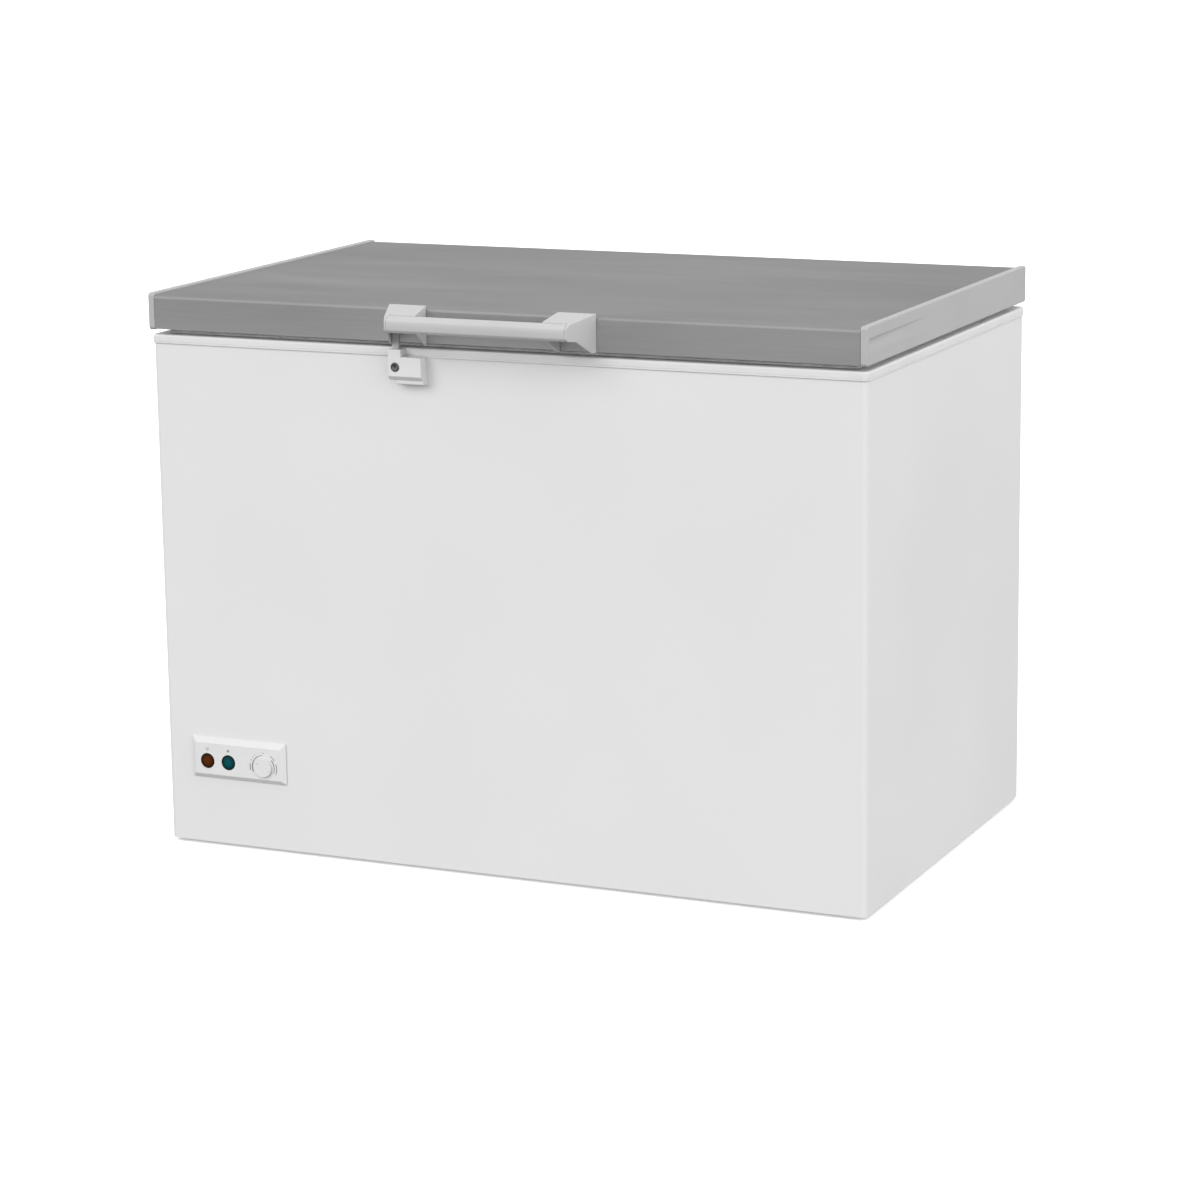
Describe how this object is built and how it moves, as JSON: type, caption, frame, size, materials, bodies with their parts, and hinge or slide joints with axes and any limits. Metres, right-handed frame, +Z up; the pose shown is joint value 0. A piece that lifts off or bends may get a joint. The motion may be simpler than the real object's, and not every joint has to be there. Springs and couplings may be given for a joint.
{
  "type": "chest freezer",
  "caption": "Wide white chest freezer with a hinged brushed-steel lid, grey end caps and bar handle, front lock, control panel with two lamps and a dial, stepped tub and sliding basket.",
  "frame": {"origin": "centre of the footprint's bounding box, on the floor", "axes": "+X to the right seen from the front, +Y to the back, +Z up"},
  "size_m": [1.134, 0.7944, 0.8463],
  "materials": {
    "white_paint": "satin white powder coat",
    "white_plastic": "satin white moulding",
    "grey_plastic": "fine-textured light grey moulding",
    "grey_seal": "soft grey extrusion",
    "brushed_steel": "long-grain brushed",
    "chrome": "bright",
    "zinc_steel": "zinc plated",
    "liner_sheet": "stucco embossed",
    "foam": "closed-cell foam",
    "black_enamel": "black enamel",
    "black_plastic": "matt black moulding",
    "rubber": "matt black",
    "copper": "drawn copper",
    "aluminium": "drawn",
    "basket_wire": "white plastic coating over wire",
    "amber_glass": "clear dark amber, polished",
    "green_glass": "clear dark green-blue, polished"
  },
  "bodies": {
    "cabinet": {"amber_lamp": "black_plastic", "amber_lens": "amber_glass", "back_panel": "white_paint", "base_pan": "zinc_steel", "bay_shroud": "zinc_steel", "cable_gland": "black_plastic", "compressor_base_plate": "black_enamel", "compressor_mount_1": "rubber", "compressor_mount_2": "rubber", "compressor_mount_3": "rubber", "compressor_mount_4": "rubber", "compressor_shell": "black_enamel", "condenser_tube": "copper", "control_panel": "white_plastic", "discharge_pipe": "copper", "drain_tube": "white_plastic", "evaporator_tube": "aluminium", "filter_drier": "copper", "foot_back_left": "black_plastic", "foot_back_right": "black_plastic", "foot_front_left": "black_plastic", "foot_front_right": "black_plastic", "green_lamp": "black_plastic", "green_lens": "green_glass", "hinge_base_left": "zinc_steel", "hinge_base_right": "zinc_steel", "hinge_pin_left": "chrome", "hinge_pin_right": "chrome", "hinge_screw_left_lower": "zinc_steel", "hinge_screw_left_upper": "zinc_steel", "hinge_screw_right_lower": "zinc_steel", "hinge_screw_right_upper": "zinc_steel", "hinge_spring_left": "chrome", "hinge_spring_right": "chrome", "inner_liner": "liner_sheet", "insulation_foam": "foam", "lock_housing": "white_plastic", "outer_wrap": "white_paint", "start_relay": "black_plastic", "thermostat_body": "zinc_steel", "top_collar": "white_plastic", "vent_grille": "white_plastic"},
    "lid": {"lid_skin": "brushed_steel", "lid_foam": "foam", "lid_liner": "white_plastic", "lid_gasket": "grey_seal", "end_cap_left": "grey_plastic", "end_cap_right": "grey_plastic", "handle_bar": "grey_plastic", "handle_bracket_left": "grey_plastic", "handle_bracket_right": "grey_plastic", "lock_tongue": "grey_plastic", "hinge_arm_left": "zinc_steel", "hinge_arm_right": "zinc_steel"},
    "thermostat_dial": {"thermostat_dial": "white_plastic"},
    "lock": {"lock_barrel": "chrome", "lock_cam": "zinc_steel"},
    "basket": {"wire_basket": "basket_wire"},
    "drain_plug": {"drain_plug": "rubber"}
  },
  "joints": [
    {"name": "lid_hinge", "type": "hinge", "parent": "cabinet", "child": "lid", "pos_m": [0, 0.3882, 0.778], "axis": [-1, 0, 0], "range_deg": [0, 85]},
    {"name": "dial_turn", "type": "hinge", "parent": "cabinet", "child": "thermostat_dial", "pos_m": [-0.3975, -0.3378, 0.1321], "axis": [0, 1, 0], "range_deg": [-51, 175]},
    {"name": "lock_turn", "type": "hinge", "parent": "cabinet", "child": "lock", "pos_m": [-0.15, -0.3518, 0.7565], "axis": [0, 1, 0], "range_deg": [0, 90]},
    {"name": "basket_slide", "type": "slide", "parent": "cabinet", "child": "basket", "axis": [1, 0, 0], "range_m": [0, 0.66]},
    {"name": "drain_pull", "type": "slide", "parent": "cabinet", "child": "drain_plug", "axis": [0, 0, 1], "range_m": [0, 0.03]}
  ]
}
